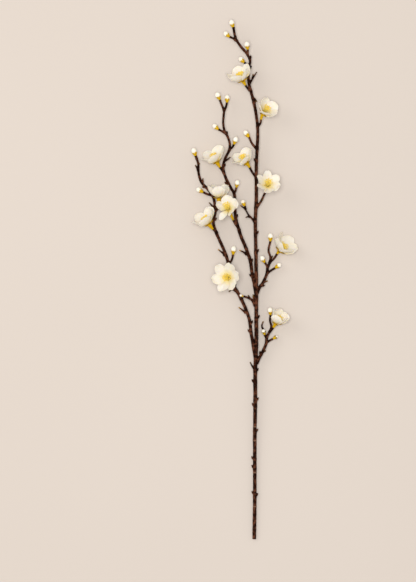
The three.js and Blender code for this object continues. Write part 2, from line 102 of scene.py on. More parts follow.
LIMBS = [
    [[11, -275, 1.6, 2.05], [11.5, -233, 3, 2], [11.5, -169.5, 5, 2], [12, -127, 7, 2.1],
     [12, -95, 8, 2.15], [13, -69, 9, 2.2], [13, -31.5, 10, 2.1], [13, -5.5, 11, 2.05],
     [12.5, 31.5, 12, 1.9], [12, 63.5, 12.5, 1.95], [13, 84.5, 12.5, 2], [13, 121.5, 12.5, 1.75],
     [14.5, 158.5, 13, 1.7], [12, 180, 13, 1.65], [8, 197, 13, 1.65], [5, 209.5, 13, 1.65],
     [5, 224.5, 14, 1.55], [6.5, 231.5, 14, 1.5], [3.5, 238.5, 14, 1.45], [-4, 247.5, 15, 1.35],
     [-9, 256, 15, 1.3], [-11.2, 266.7, 15.5, 1.45]],
    [[12, -82.5, 8.5, 1.9], [9.5, -67.5, 9.5, 1.85], [7.5, -56, 10, 1.85], [6, -43.5, 10.5, 1.85],
     [3, -33.5, 11, 1.8], [-2.5, -21, 11, 1.8], [-7, -12.5, 10.5, 1.8], [-11, -5.5, 10, 1.8],
     [-14, 5.5, 9, 1.8], [-16.5, 17, 9, 1.8], [-19.5, 27.5, 9.5, 1.75], [-26, 42.5, 10, 1.7],
     [-29.5, 50.5, 10, 1.65], [-32.5, 61.5, 9, 1.65], [-30.5, 71, 8.5, 1.6], [-31, 80.5, 8, 1.55],
     [-33, 89, 7, 1.55], [-38.5, 96.5, 7, 1.5], [-45, 103.5, 9, 1.45], [-48, 113, 11, 1.4],
     [-48.5, 123.5, 13, 1.35], [-51, 131, 13.5, 1.45]],
    [[12.5, -14, 11, 1.9], [10.5, -2, 12, 1.9], [8.5, 7.5, 12.5, 1.9], [7, 19, 13, 1.9],
     [4.5, 27, 13.3, 1.9], [1.5, 35, 13.5, 1.9], [-2.5, 44.5, 13.5, 1.85], [-6, 55, 13.5, 1.8],
     [-9, 67.5, 12, 1.7], [-9.5, 80.5, 10, 1.65], [-10.5, 91.5, 8, 1.65], [-15, 99.5, 6, 1.6],
     [-19, 107.5, 6.5, 1.55], [-21.5, 116, 7.5, 1.5], [-22, 121.5, 9, 1.45], [-20, 128.5, 10, 1.45],
     [-16, 137, 11, 1.4], [-15, 143.5, 12, 1.4], [-17, 151, 12.5, 1.35], [-20.5, 157.5, 13, 1.35],
     [-22, 166, 13.5, 1.3], [-21.5, 174.5, 14, 1.3], [-21, 179.5, 14, 1.3]],
    [[14, -14, 10.5, 1.8], [16.5, -8, 10, 1.75], [20, -3, 9.5, 1.75], [24, 6, 8.5, 1.65],
     [25, 12.5, 7.5, 1.6], [27.5, 19, 6.5, 1.5]],
    [[13.5, -89, 8, 1.8], [16.5, -82, 8.5, 1.75], [20.5, -74.5, 9, 1.7], [23.5, -67, 9.5, 1.7],
     [24, -61.5, 9.5, 1.65], [25, -58.5, 10, 1.55], [27, -55, 10, 1.45]],
]
# The dormant buds of each limb: how far along, as a share of the bends, and the angle round it.
KNOBS = [
    [(0.051, 0), (0.053, 180), (0.08, 180), (0.105, 0), (0.136, 180), (0.143, 0), (0.171, 180),
     (0.189, 0), (0.24, 180), (0.275, 0), (0.31, 180), (0.379, 0), (0.407, 0), (0.46, 10),
     (0.53, 170), (0.58, 0), (0.68, 180), (0.76, 10), (0.83, 0)],
    [(0.1, 180), (0.33, 10), (0.47, 170), (0.7, 0)],
    [(0.14, 0), (0.36, 10), (0.52, 180), (0.84, 10)],
    [(0.3, 0)],
    [(0.25, 180)],
]

# ---- twigs that carry a bloom: the route, and the bloom on its end
# A bloom: the turn and rise of its axis, how many petals, their reach, their lean from the axis at root
# and tip, the height of the neck, the roll, the stalk before the neck, and which petal droops.

Bloom = namedtuple("Bloom", "turn rise petals reach opening neck roll stalk drooping", defaults=(2, 0))

BLOOMS = [
    ([[6, 200.5, 13], [3.5, 203, 14], [1.5, 206, 15]], Bloom(118, 25, 5, 16.8, (70, 22), 4.3, 43)),
    ([[14, 162, 13], [17.3, 165.8, 13.4], [17.9, 169.6, 14]],
     Bloom(50, 43, 5, 15.6, (64, 20), 4.5, -44, stalk=4.5)),
    ([[-21, 113, 7.2], [-23.5, 116.5, 7.4], [-25.5, 119.5, 8.02]],
     Bloom(118, 21, 5, 17.4, (70, 32), 5.2, 0)),
    ([[12.5, 109, 12.5], [9, 113.5, 12.5], [6, 119, 12.5]], Bloom(126, 28, 5, 15.2, (70, 27), 5.2, 11)),
    ([[13, 76, 12.5], [17.5, 82.5, 13], [21, 89.5, 13.5], [22.6, 93.2, 14.6]],
     Bloom(77, 61, 6, 14.9, (72, 36), 5.3, -26, stalk=3.8)),
    ([[-30.5, 72, 8.5], [-28, 75.5, 9.4], [-27, 80, 10.4]], Bloom(91, 6, 5, 16.4, (63, 11), 4.8, 52)),
    ([[-29, 49, 10], [-31, 52, 11.5], [-33, 54, 13]], Bloom(126, 18, 5, 17.3, (68, 25), 5.5, 4)),
    ([[-6.5, 56, 13.5], [-9.5, 59.5, 14.7], [-11.4, 63.5, 15.8]],
     Bloom(115, 56, 5, 14.2, (70, 34), 5, 96, stalk=9, drooping=3)),
    ([[27.5, 19, 6.5], [32, 23, 4.8], [35, 27.5, 3.29]], Bloom(47, 33, 5, 18.6, (58, 18), 3.6, 50)),
    ([[-9.5, -8, 10.3], [-11.3, -6.3, 11.4], [-12.5, -3.5, 12.5]],
     Bloom(170, 71, 6, 17.6, (72, 40), 5.4, 10, stalk=6.3)),
    ([[27, -55, 10], [29.2, -53, 10.4], [31, -50.2, 10.8]], Bloom(62, 32, 5, 15.4, (54, 6), 4, 14)),
]

# ---- twigs that carry a closed bud: the route, and (turn, rise, size)

BUDS = [
    ([[-9, 256, 15], [-10.4, 261.6, 15.2], [-11.2, 266.7, 15.5]], (110, 5, 1)),
    ([[-9, 254.5, 15], [-11.5, 255.5, 14.5], [-15, 257, 14]], (140, -10, 0.95)),
    ([[4, 237, 14], [4, 240, 15], [4, 243.5, 16]], (100, 15, 1)),
    ([[5, 224.5, 14], [3, 228, 13], [0.5, 230, 12]], (135, -15, 0.95)),
    ([[-21, 179, 14], [-23.5, 185, 14], [-25.5, 190.5, 14.5]], (115, 10, 1)),
    ([[-21, 179, 14], [-19, 183.5, 13.5], [-18, 187.5, 13]], (88, -10, 1)),
    ([[-20, 155.5, 12.8], [-23.5, 157.5, 12.5], [-26.8, 159.3, 12]], (140, -10, 0.95)),
    ([[-15, 139, 11.2], [-12.4, 140.3, 12.6], [-10.7, 143.5, 14]], (70, 20, 1)),
    ([[13, 139, 12.7], [8.5, 144.5, 11.5], [5.5, 151, 10.5]], (125, -10, 1.05)),
    ([[-50, 128, 13.2], [-50.5, 129.5, 13.4], [-51, 131, 13.5]], (110, 5, 1.05)),
    ([[-33, 89.5, 7], [-38.5, 91, 6], [-43, 93, 6]], (150, -10, 1)),
    ([[-10.8, 91.5, 8], [-9, 94.5, 10], [-8, 98, 12]], (80, 20, 0.95)),
    ([[1.5, 74.5, 14], [1.4, 76, 13.6], [1, 78, 13]], (115, -20, 0.9)),
    ([[-16, 16, 9], [-13, 21.5, 9.5], [-11.5, 27, 10.5]], (85, 10, 1.05)),
    ([[27, 18, 6.5], [28, 23.5, 7.5], [26, 31.5, 8.5], [28, 41, 9.5]], (90, 5, 1)),
    ([[25, 10.5, 8], [24, 15.5, 9.5], [22, 18.5, 10.5]], (120, 15, 0.95)),
    ([[24.5, 7, 8.3], [28.5, 10, 7.8], [32.8, 12.7, 7.5]], (35, -5, 0.95)),
    ([[27, -55, 10], [29, -49.5, 10.5], [27.5, -43, 11], [28, -37, 12]], (95, 15, 0.95)),
    ([[24, -61, 9.6], [22.7, -59.7, 10.2], [22, -58, 10.8]], (110, 25, 0.75)),
    ([[23.5, -66.5, 9.5], [26.5, -64.5, 8.8], [30.5, -62.3, 8]], (30, -10, 0.7)),
    ([[11.5, -27.5, 10], [9, -22, 11], [6, -19.5, 12], [2, -18, 12.9], [-0.5, -17.3, 13.5]],
     (160, 5, 0.5)),
]

# ---- bare twigs and broken snags, and how golden the tip of each is

SNAGS = [
    ([[5.5, 207, 13], [9, 213, 12.5], [13.5, 220, 12]], 0.1),
    ([[8.5, 192, 13], [11, 192, 13.5], [13.5, 188.5, 14]], 0.2),
    ([[9, 213, 12.5], [9.5, 215.5, 12.7], [9.5, 217.8, 12.8]], 0.3),
    ([[11.5, 60.5, 12.5], [8, 65.5, 13], [5, 68.5, 13.5], [1, 75, 14], [-4, 79, 14.5]], 0.5),
    ([[7, 66.5, 13.2], [4, 67, 12.2], [2, 66, 11.6]], 0.2),
    ([[18, 83.5, 13], [19, 84.2, 13.6], [20, 85, 14.2]], 0.2),
    ([[-21, 126, 9.7], [-17.5, 127.5, 11], [-14.5, 130, 12]], 0.1),
    ([[3, 26.5, 13.3], [-0.5, 29.5, 13.8], [-5, 31.5, 14.3]], 1),
    ([[2, -35, 10.8], [-2, -31.5, 10], [-5.5, -29, 9.2]], 1),
    ([[-7, -13.5, 10.5], [-11, -10.5, 10], [-13.5, -10.5, 9.6], [-16, -12.5, 9.2]], 0.2),
    ([[-19, 25.5, 9.5], [-23.5, 29.5, 9], [-27.5, 32.5, 8.5]], 1),
    ([[-30.5, 74.5, 8.4], [-34, 79, 8], [-37, 82, 8]], 0.2),
    ([[-44, 101.5, 8.8], [-43.5, 104.5, 9.8], [-43.5, 107.5, 10.8]], 0.1),
    ([[-48.5, 116, 11.8], [-50, 119, 12], [-51.5, 121.5, 11.5]], 0.2),
    ([[-48.5, 120.5, 12.8], [-47.8, 122, 13.1], [-47, 123.5, 13.5]], 0.2),
    ([[7, -20.5, 11.7], [5.5, -18, 11.2], [4.5, -16, 11]], 0.2),
    ([[11.5, -22, 10.2], [10, -19.5, 10.6], [9.5, -17, 11]], 0.2),
    ([[28, 21.5, 7.2], [29, 23.5, 7.5], [30.5, 25.5, 7.8]], 0.1),
    ([[19.5, -3.5, 9.5], [22, -2, 10], [25, -1, 10.5]], 0.3),
    ([[20, -76, 9], [21.5, -75.5, 9.3], [23, -75, 9.5]], 0.2),
    ([[24, -62.5, 9.5], [21, -54, 6.5], [19, -48.5, 6], [20.5, -44, 6]], 0.3),
    ([[12, -97, 8], [9.5, -92.5, 8.5], [6.5, -87, 9]], 0.2),
]

TWIG_RADII = [1.45, 1.2, 1.2]  # at the foot, the middle and the end
SNAG_RADII = [1.25, 1, 0.65]


# ---- small helpers

def heading(turn, rise=0.0):
    """The unit vector at a turn in the XY plane and a rise from it."""
    t, r = math.radians(turn), math.radians(rise)
    return Vector((math.cos(r) * math.cos(t), math.cos(r) * math.sin(t), math.sin(r)))


def unit(a):
    return a / np.linalg.norm(a, axis=-1, keepdims=True)


def smooth(x):
    """0 below 0, 1 above 1, and a soft step between."""
    x = np.clip(x, 0, 1)
    return x * x * (3 - 2 * x)


def waves(points, scale, seed):
    """Smooth noise from -1 to 1 at each point."""
    shift = Vector((seed * 17.3, seed * 5.1, seed * 9.7))
    return np.array([noise.noise(Vector(p) * scale + shift) for p in points])


def search_tree(points):
    tree = KDTree(len(points))
    for i, p in enumerate(points):
        tree.insert(p, i)
    tree.balance()
    return tree


def add_attributes(mesh, **attributes):
    for key, values in attributes.items():
        values = np.asarray(values, np.float32)
        kind, field = ("FLOAT_VECTOR", "vector") if values.ndim == 2 else ("FLOAT", "value")
        mesh.attributes.new(key, kind, "POINT").data.foreach_set(field, values.ravel())


def dress(piece, nodes):
    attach(piece, "root")
    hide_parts(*nodes)


def make(name, points, faces, material, slot, node, moves, **attributes):
    """A piece that stands for a node. moves is its rotation and place in the part's frame."""
    rotation, place = moves
    points = points @ np.array(rotation.to_matrix()).T + np.array(place)
    z = points[:, 2]
    points[:, 2] = np.where(z > PRESSED, z, PRESSED * np.exp(np.minimum(z / PRESSED, 1) - 1))
    mesh = bpy.data.meshes.new(name)
    mesh.from_pydata((points * MM).tolist(), [], faces)
    add_attributes(mesh, **attributes)
    mesh.validate()
    mesh.shade_smooth()
    mesh.set_sharp_from_angle(angle=math.radians(RIM_ANGLE))
    mesh.materials.append(material)
    dress(placed(name, mesh), [node])


def make_part(kind, number, body, material, slot, moves):
    """A bloom's calyx, petals or stamens."""
    points, faces, values = body.joined()
    make(f"{kind}_{number:02d}", points, faces, material, slot, f"bloom_{number:02d}_{kind}", moves,
         **values)


def circle(radius, z, sides, turn=0.0):
    """A flat ring of points round the Z axis."""
    return [np.array(heading(360 / sides * i + turn)) * radius + (0, 0, z) for i in range(sides)]


def grid_faces(rows, columns, start=0, wrap=False, flip=False):
    """Quads over a grid of points, row by row. wrap joins the last column to the first."""
    faces = []
    for r in range(rows - 1):
        for c in range(columns if wrap else columns - 1):
            d = (c + 1) % columns
            quad = [start + r * columns + c, start + r * columns + d,
                    start + (r + 1) * columns + d, start + (r + 1) * columns + c]
            faces.append(quad[::-1] if flip else quad)
    return faces


def closed_faces(n, sides):
    """Faces over n rings of points, with a cap on each end."""
    caps = [list(range(sides))[::-1], list(range((n - 1) * sides, n * sides))]
    return grid_faces(n, sides, wrap=True) + caps


def circles(right, up, sides):
    """Unit circles across a line, one for each of its points."""
    a = 2 * np.pi * np.arange(sides) / sides
    return right[:, None] * np.cos(a)[:, None] - up[:, None] * np.sin(a)[:, None]


def thin_leaf(upper, lower):
    """The points and faces of a closed leaf between two grids of points."""
    rows, columns = upper.shape[:2]
    n = rows * columns
    faces = grid_faces(rows, columns, flip=True) + grid_faces(rows, columns, n)
    border = ([r * columns + columns - 1 for r in range(rows)]
              + [(rows - 1) * columns + c for c in range(columns - 2, -1, -1)]
              + [r * columns for r in range(rows - 2, -1, -1)]
              + list(range(1, columns - 1)))
    faces += [[a, b, b + n, a + n] for a, b in zip(border, border[1:] + border[:1])]
    return np.concatenate([upper.reshape(-1, 3), lower.reshape(-1, 3)]), faces


class Body:
    """Points, faces and per-point values that pile up into one mesh."""

    def __init__(self):
        self.points, self.faces, self.values, self.count = [], [], {}, 0

    def add(self, points, faces, **values):
        self.points.append(points)
        self.faces += [[i + self.count for i in f] for f in faces]
        for key, value in values.items():
            self.values.setdefault(key, []).append(value)
        self.count += len(points)

    def loft(self, rings, **values):
        """A closed body through rings of points, counter-clockwise seen from ahead."""
        rings = np.asarray(rings, float)
        self.add(rings.reshape(-1, 3), closed_faces(*rings.shape[:2]), **values)

    def joined(self):
        return (np.concatenate(self.points), self.faces,
                {k: np.concatenate(v) for k, v in self.values.items()})


# ---- node materials

class Nodes:
    """A short way to write a material's node tree."""

    def __init__(self, name):
        self.material = bpy.data.materials.new(name)
        self.material.use_nodes = True
        self.tree = self.material.node_tree
        self.shader = self.tree.nodes["Principled BSDF"]

    def add(self, kind, inputs=(), **settings):
        node = self.tree.nodes.new("ShaderNode" + kind)
        for key, value in settings.items():
            setattr(node, key, value)
        for key, value in dict(inputs).items():
            self.put(node.inputs[key], value)
        return node

    def put(self, socket, value):
        if isinstance(value, bpy.types.NodeSocket):
            self.tree.links.new(value, socket)
        else:
            socket.default_value = value

    def finished(self, **inputs):
        for key, value in inputs.items():
            self.put(self.shader.inputs[key.replace("_", " ")], value)
        return self.material

    def attribute(self, name, output="Vector"):
        return self.add("Attribute", attribute_name=name).outputs[output]

    def math(self, operation, a, b=0.0, clamp=False):
        return self.add("Math", {0: a, 1: b}, operation=operation, use_clamp=clamp).outputs[0]

    def times(self, a, b):
        return self.math("MULTIPLY", a, b)

    def sum(self, first, *terms):
        """The first value and the others, each of those by its weight."""
        for value, weight in terms:
            first = self.math("ADD", first, self.times(value, weight))
        return first

    def scaled(self, vector, scale):
        return self.add("VectorMath", {0: vector, 1: scale}, operation="MULTIPLY").outputs[0]

    def noise(self, vector, scale=1.0, detail=2.0, roughness=0.5):
        node = self.add("TexNoise", {"Vector": vector, "Scale": scale, "Detail": detail,
                                     "Roughness": roughness})
        return node.outputs["Fac"]

    def ramp(self, fac, *stops):
        """A colour or value ramp with stops (place, value)."""
        node = self.add("ValToRGB", {"Fac": fac})
        elements = node.color_ramp.elements
        while len(elements) < len(stops):
            elements.new(1)
        for element, (place, value) in zip(elements, stops):
            element.position = place
            element.color = (*value, 1) if isinstance(value, tuple) else (value, value, value, 1)
        return node.outputs["Color"]

    def mix(self, fac, a, b):
        """a where fac is 0, b where it is 1."""
        node = self.add("Mix", data_type="RGBA")
        for socket, value in ((0, fac), (6, a), (7, b)):
            if isinstance(value, tuple):
                value = (*value, 1)
            elif isinstance(value, float) and socket:
                value = (value, value, value, 1)
            self.put(node.inputs[socket], value)
        return node.outputs[2]

    def over(self, colour, tint, fac, *stops):
        """The colour, with a tint over it where a ramp says so."""
        return self.mix(self.ramp(fac, *stops), colour, tint)

    def glow(self, colour, share):
        """Lets a share of the light through from behind, as thin cloth does."""
        through = self.add("BsdfTranslucent", {"Color": colour})
        both = self.add("MixShader", {0: share, 1: self.shader.outputs[0], 2: through.outputs[0]})
        self.put(self.tree.nodes["Material Output"].inputs["Surface"], both.outputs[0])

    def bump(self, height, distance, strength):
        node = self.add("Bump", {"Height": height, "Distance": distance, "Strength": strength})
        return node.outputs["Normal"]


PETAL_GLOW = 0.36


def bark():
    n = Nodes("bark")
    grain = n.attribute("grain")  # across, across and along the limb, in millimetres
    tip = n.attribute("tip", "Fac")  # 1 on a golden broken tip
    fresh = n.attribute("fresh", "Fac")  # 1 on dormant buds, and more on the cut end
    seam = n.attribute("seam", "Fac")  # 1 where two limbs meet
    ring = n.attribute("ring", "Fac")  # 1 on a bud scale's scar round the stem
    place = n.add("TexCoord").outputs["Object"]
    streaks = n.noise(n.scaled(grain, (1.3, 1.3, 0.22)), 1.0, 4, 0.6)
    streaks = n.mix(seam, streaks, 0.47)
    mottle = n.noise(place, 270.0, 3, 0.55)
    crumbs = n.noise(place, 2600.0, 3, 0.6)
    spots = n.add("TexVoronoi", {"Vector": n.scaled(grain, (0.55, 0.55, 0.5)), "Scale": 1.0},
                  feature="F1").outputs["Distance"]
    apart = n.math("SUBTRACT", 1.0, seam, clamp=True)
    lenticel = n.times(n.ramp(spots, (0.1, 1.0), (0.17, 0.0)), apart)

    crack, skin, ridge = (0.0025, 0.0004, 0.0001), (0.008, 0.0014, 0.0004), (0.055, 0.0145, 0.006)
    worn, damp = (0.155, 0.055, 0.028), (0.005, 0.0008, 0.0002)
    pore, scar = (0.17, 0.095, 0.055), (0.40, 0.25, 0.17)
    bud_scale, cut_wood, golden = (0.006, 0.0015, 0.0007), (0.16, 0.075, 0.036), (0.42, 0.24, 0.055)
    colour = n.ramp(streaks, (0.32, crack), (0.5, skin), (0.66, ridge))
    colour = n.over(colour, worn, mottle, (0.49, 0.0), (0.64, 0.6))
    colour = n.over(colour, damp, mottle, (0.38, 0.8), (0.48, 0.0))
    colour = n.mix(n.times(lenticel, 0.45), colour, pore)
    colour = n.mix(n.times(ring, 0.45), colour, scar)
    half = n.times(fresh, 0.5)
    colour = n.over(colour, bud_scale, half, (0.1, 0.0), (0.45, 0.75))
    colour = n.over(colour, cut_wood, half, (0.55, 0.0), (0.8, 0.64))
    colour = n.mix(tip, colour, golden)
    relief = n.sum(n.times(streaks, 0.6), (crumbs, 0.3), (lenticel, 0.18))
    return n.finished(
        Base_Color=colour, Roughness=n.ramp(mottle, (0.35, 0.48), (0.7, 0.72)),
        Normal=n.bump(relief, 0.00035, 0.75),
        Specular_IOR_Level=0.05, Specular_Tint=(1.0, 0.66, 0.46, 1),
        Sheen_Weight=0.16, Sheen_Roughness=0.35, Sheen_Tint=(1.0, 0.70, 0.58, 1))


def petal():
    n = Nodes("petal")
    place = n.add("SeparateXYZ", {0: n.attribute("blade")})  # along 0..1, across -1..1, petal's seed
    u, v, seed = place.outputs
    cloth = n.attribute("cloth")  # millimetres over the blade
    soft = n.noise(cloth, 0.22, 3, 0.55)
    fan = n.add("CombineXYZ", {0: n.times(v, 9.0), 1: n.times(u, 1.4), 2: seed})
    veins = n.noise(fan.outputs[0], 1.6, 3, 0.55)
    veins = n.ramp(n.math("ABSOLUTE", n.math("SUBTRACT", veins, 0.5)), (0.0, 1.0), (0.05, 0.0))
    veins = n.times(veins, n.ramp(u, (0.05, 1.0), (0.95, 0.25)))
    edge = n.math("MAXIMUM", n.math("ABSOLUTE", v), u)
    threads = n.add("SeparateXYZ", {0: n.scaled(cloth, (24, 24, 0))})
    weave = n.times(n.math("SINE", threads.outputs[0]), n.math("SINE", threads.outputs[1]))

    ivory, cream = (0.90, 0.862, 0.765), (0.955, 0.935, 0.875)
    yellow, golden = (0.95, 0.82, 0.36), (0.80, 0.60, 0.06)
    vein, painted_rim_shade = (0.78, 0.66, 0.42), (0.74, 0.62, 0.38)
    colour = n.mix(soft, ivory, cream)
    colour = n.over(colour, yellow, u, (0.1, 0.9), (0.24, 0.5), (0.46, 0.0))
    colour = n.over(colour, golden, u, (0.03, 0.9), (0.12, 0.0))
    colour = n.mix(n.times(veins, 0.22), colour, vein)
    # painted shade: a tan tint along each petal's edges and tip, for the shade that falls between
    # neighbouring petals
    colour = n.over(colour, painted_rim_shade, edge, (0.9, 0.0), (1.0, 0.22))
    relief = n.sum(n.times(weave, 0.16), (veins, 0.6), (soft, 1.2))
    n.glow(n.mix(0.35, colour, (1.0, 0.86, 0.62)), PETAL_GLOW)
    return n.finished(
        Base_Color=colour, Roughness=n.ramp(soft, (0.3, 0.52), (0.7, 0.66)),
        Normal=n.bump(relief, 0.00018, 0.6),
        Specular_IOR_Level=0.3,
        Subsurface_Weight=0.28, Subsurface_Radius=(1.0, 0.72, 0.42), Subsurface_Scale=0.0012,
        Sheen_Weight=0.4, Sheen_Roughness=0.45, Sheen_Tint=(1.0, 0.975, 0.93, 1))


def calyx_skin():
    n = Nodes("calyx")
    reach = n.attribute("reach", "Fac")  # 0 at the foot, 1 at the cup's rim, 2 at a sepal's tip
    grain = n.attribute("grain")
    soft = n.noise(grain, 0.9, 3, 0.6)
    fine = n.noise(n.scaled(grain, (6, 6, 2.2)), 1.0, 2, 0.5)
    far = n.math("SUBTRACT", reach, 1.0, clamp=True)

    deep, golden = (0.38, 0.215, 0.002), (0.76, 0.46, 0.006)
    foot, leaf, speck = (0.10, 0.06, 0.006), (0.17, 0.11, 0.006), (0.20, 0.12, 0.005)
    colour = n.mix(soft, deep, golden)
    colour = n.over(colour, foot, reach, (0.0, 0.7), (0.14, 0.0))
    colour = n.over(colour, leaf, far, (0.2, 0.0), (1.0, 0.9))
    colour = n.over(colour, speck, fine, (0.48, 0.0), (0.75, 0.5))
    return n.finished(
        Base_Color=colour, Roughness=n.ramp(soft, (0.3, 0.3), (0.7, 0.48)),
        Normal=n.bump(n.sum(soft, (fine, 0.5)), 0.0002, 0.6),
        Specular_IOR_Level=0.2, Specular_Tint=(1.0, 0.78, 0.25, 1),
        Subsurface_Weight=0.12, Subsurface_Radius=(1.0, 0.6, 0.15), Subsurface_Scale=0.0008)


def stamen_skin():
    n = Nodes("stamen")
    part = n.attribute("part", "Fac")  # 0 disc, 1 a filament's foot, 2 its top, 3 anther
    crumbs = n.noise(n.attribute("grain"), 7.0, 2, 0.6)

    disc, foot, thread = (0.10, 0.06, 0.008), (0.60, 0.44, 0.03), (0.95, 0.82, 0.28)
    top, anther, pollen = (0.92, 0.73, 0.13), (0.86, 0.61, 0.045), (0.95, 0.79, 0.22)
    colour = n.ramp(n.math("DIVIDE", part, 3.0),
                    (0.0, disc), (0.33, foot), (0.6, thread), (0.7, top), (1.0, anther))
    colour = n.over(colour, pollen, crumbs, (0.45, 0.0), (0.8, 0.5))
    return n.finished(
        Base_Color=colour, Roughness=n.ramp(crumbs, (0.3, 0.45), (0.7, 0.75)),
        Normal=n.bump(crumbs, 0.0001, 0.7))


def bud_skin():
    n = Nodes("bud_petals")
    place = n.add("SeparateXYZ", {0: n.attribute("blade")})  # up 0..1, across a petal 0..1, number
    u, v, _ = place.outputs
    grain = n.attribute("grain")
    soft = n.noise(grain, 0.5, 3, 0.55)
    fine = n.noise(n.scaled(grain, (5, 5, 1.2)), 1.0, 2, 0.5)

    ivory, cream = (0.74, 0.69, 0.585), (0.84, 0.80, 0.715)
    yellow, painted_lap_shade, peak = (0.72, 0.60, 0.26), (0.62, 0.50, 0.30), (0.66, 0.54, 0.32)
    colour = n.mix(soft, ivory, cream)
    colour = n.over(colour, yellow, u, (0.15, 0.75), (0.5, 0.0))
    # painted shade: a tan band along each petal's lapped edge, where one petal lies over the next
    colour = n.over(colour, painted_lap_shade, v, (0.0, 0.55), (0.16, 0.0))
    colour = n.over(colour, peak, u, (0.9, 0.0), (1.0, 0.5))
    return n.finished(
        Base_Color=colour, Roughness=n.ramp(soft, (0.3, 0.5), (0.7, 0.64)),
        Normal=n.bump(n.sum(soft, (fine, 0.5)), 0.0002, 0.5),
        Subsurface_Weight=0.2, Subsurface_Radius=(1.0, 0.72, 0.42), Subsurface_Scale=0.0012)


def floor_skin():
    n = Nodes("floor")
    soft = n.noise(n.add("TexCoord").outputs["Object"], 2.2, 2, 0.5)
    return n.finished(
        Base_Color=n.mix(soft, (0.525, 0.468, 0.42), (0.55, 0.492, 0.443)),
        Roughness=0.85, Specular_IOR_Level=0.1)


BARK, PETAL, CALYX, STAMEN, BUD = bark(), petal(), calyx_skin(), stamen_skin(), bud_skin()

# ---- floor

FLOOR_HALF, FLOOR_DROP = 6, 0.00005  # in metres; it lies a hair under the branch

floor_mesh = bpy.data.meshes.new("floor")
corners = [(x * FLOOR_HALF, y * FLOOR_HALF, 0) for x, y in ((-1, -1), (1, -1), (1, 1), (-1, 1))]
floor_mesh.from_pydata(corners, [], [(0, 1, 2, 3)])
floor_mesh.materials.append(floor_skin())
floor = placed("floor", floor_mesh)
floor.location.z = -FLOOR_DROP

# ---- wood

STEP = 0.8  # between two rings of a limb
ROUNDING, ROUND_ANGLES = 0.6, (30, 60, 82)  # a domed end: its height, as a share of its radius
SIDES = {"stem": 18, "limb": 14, "twig": 12}
VOXEL = 0.32
MOST_TRIANGLES = 190000
SEAM_WIDTH = 1.3  # over which one limb's grain fades out beside another
NEAR_SAMPLES = 14  # how many are looked at for each point of the bark
LIMB_GAP = 37.0  # between one limb's grain and the next, so that no two look alike
GOLDEN_END = 2.6  # how much of a golden tip is golden
# the height of each kind of relief in the bark, and how fine it is
RIDGES, LUMPS, GRIT = (0.11, (0.9, 0.9, 0.16)), (0.10, 0.42), (0.045, 1.7)
SCARS = (-155.5, -170.3, -204.2, -240.2)  # y of the stem's pale rings, left by old bud scales
SCAR_HEIGHT, SCAR_WIDTH = 0.14, 0.42
CUT_Y, CUT_DEPTH = -275.0, 0.8  # the cut end, and how far its pale wood shows
# height and width of swellings: under a dormant bud, a bud on a limb's end, a twig's end, its foot
NODE, COLLAR, TWIG_END, TWIG_FOOT = (0.17, 1.5), (0.22, 1.0), (0.2, 0.9), (0.25, 1.6)
UNEVEN = 0.05  # how much a limb's radius varies
INTERNODE, BUD_GAP = 24, 9  # about how far apart dormant buds stand, and the least distance
BUD_ANGLES = (55, 95, 125, 250, 290, 0, 180)
# how far along a dormant bud, and how wide it is there
BUD_OUTLINE = ((0, 0.8), (0.15, 1.02), (0.35, 1.08), (0.55, 0.88), (0.75, 0.58), (0.9, 0.34), (1, 0.14))

Route = namedtuple("Route", "points places forward right up length left last")
Sample = namedtuple("Sample", "limb point right up along gold radius")
SAMPLES = []  # of every limb's centreline
BUD_SPOTS = []  # the middle of each dormant bud, and its reach


def route(bends):
    """A centripetal Catmull-Rom curve through the bends, and each point's place among them."""
    b = np.array(bends, float)[:, :3]
    ends = np.vstack([2 * b[0] - b[1], b, 2 * b[-1] - b[-2]])
    points, places = [], []
    for i in range(len(b) - 1):
        p = ends[i:i + 4]
        d = [np.linalg.norm(p[k + 1] - p[k]) ** 0.5 for k in range(3)]
        m1 = ((p[1] - p[0]) / d[0] - (p[2] - p[0]) / (d[0] + d[1]) + (p[2] - p[1]) / d[1]) * d[1]
        m2 = ((p[2] - p[1]) / d[1] - (p[3] - p[1]) / (d[1] + d[2]) + (p[3] - p[2]) / d[2]) * d[1]
        n = max(2, math.ceil(np.linalg.norm(p[2] - p[1]) / STEP))
        for t in np.arange(n) / n:
            points.append(p[1] + m1 * t + (-3 * p[1] + 3 * p[2] - 2 * m1 - m2) * t ** 2
                          + (2 * p[1] - 2 * p[2] + m1 + m2) * t ** 3)
            places.append(i + t)
    points.append(b[-1])
    places.append(len(b) - 1)
    points = np.array(points)
    forward = unit(np.gradient(points, axis=0))
    right = unit(np.cross(forward, (0, 0, 1)))
    up = np.cross(right, forward)
    length = np.concatenate([[0], np.cumsum(np.linalg.norm(np.diff(points, axis=0), axis=1))])
    return Route(points, np.array(places), forward, right, up, length, length[-1] - length, len(b) - 1)


def reached(r, share):
    """How far along a route a share of its bends is."""
    return np.interp(share * r.last, r.places, r.length)


def swelling(distance, height, width):
    return height * np.exp(-(distance / width) ** 2)


def tube(body, r, radii, sides, rounded=True):
    """A limb with these radii round a route. Its far end is domed, or cut straight."""
    across = circles(r.right, r.up, sides)
    rings = list(r.points[:, None] + across * radii[:, None, None])
    if rounded:
        for a in map(math.radians, ROUND_ANGLES):
            rings.append(r.points[-1] + across[-1] * radii[-1] * math.cos(a)
                         + r.forward[-1] * radii[-1] * ROUNDING * math.sin(a))
    body.loft(rings)


def keep(r, radii, number, gold=0.0):
    """Notes a limb's centreline, which the bark's grain follows."""
    golden = gold * smooth(1 - r.left / GOLDEN_END)
    along = r.length + LIMB_GAP * number
    for values in zip(r.points, r.right, r.up, along, golden, radii):
        SAMPLES.append(Sample(number, *values))


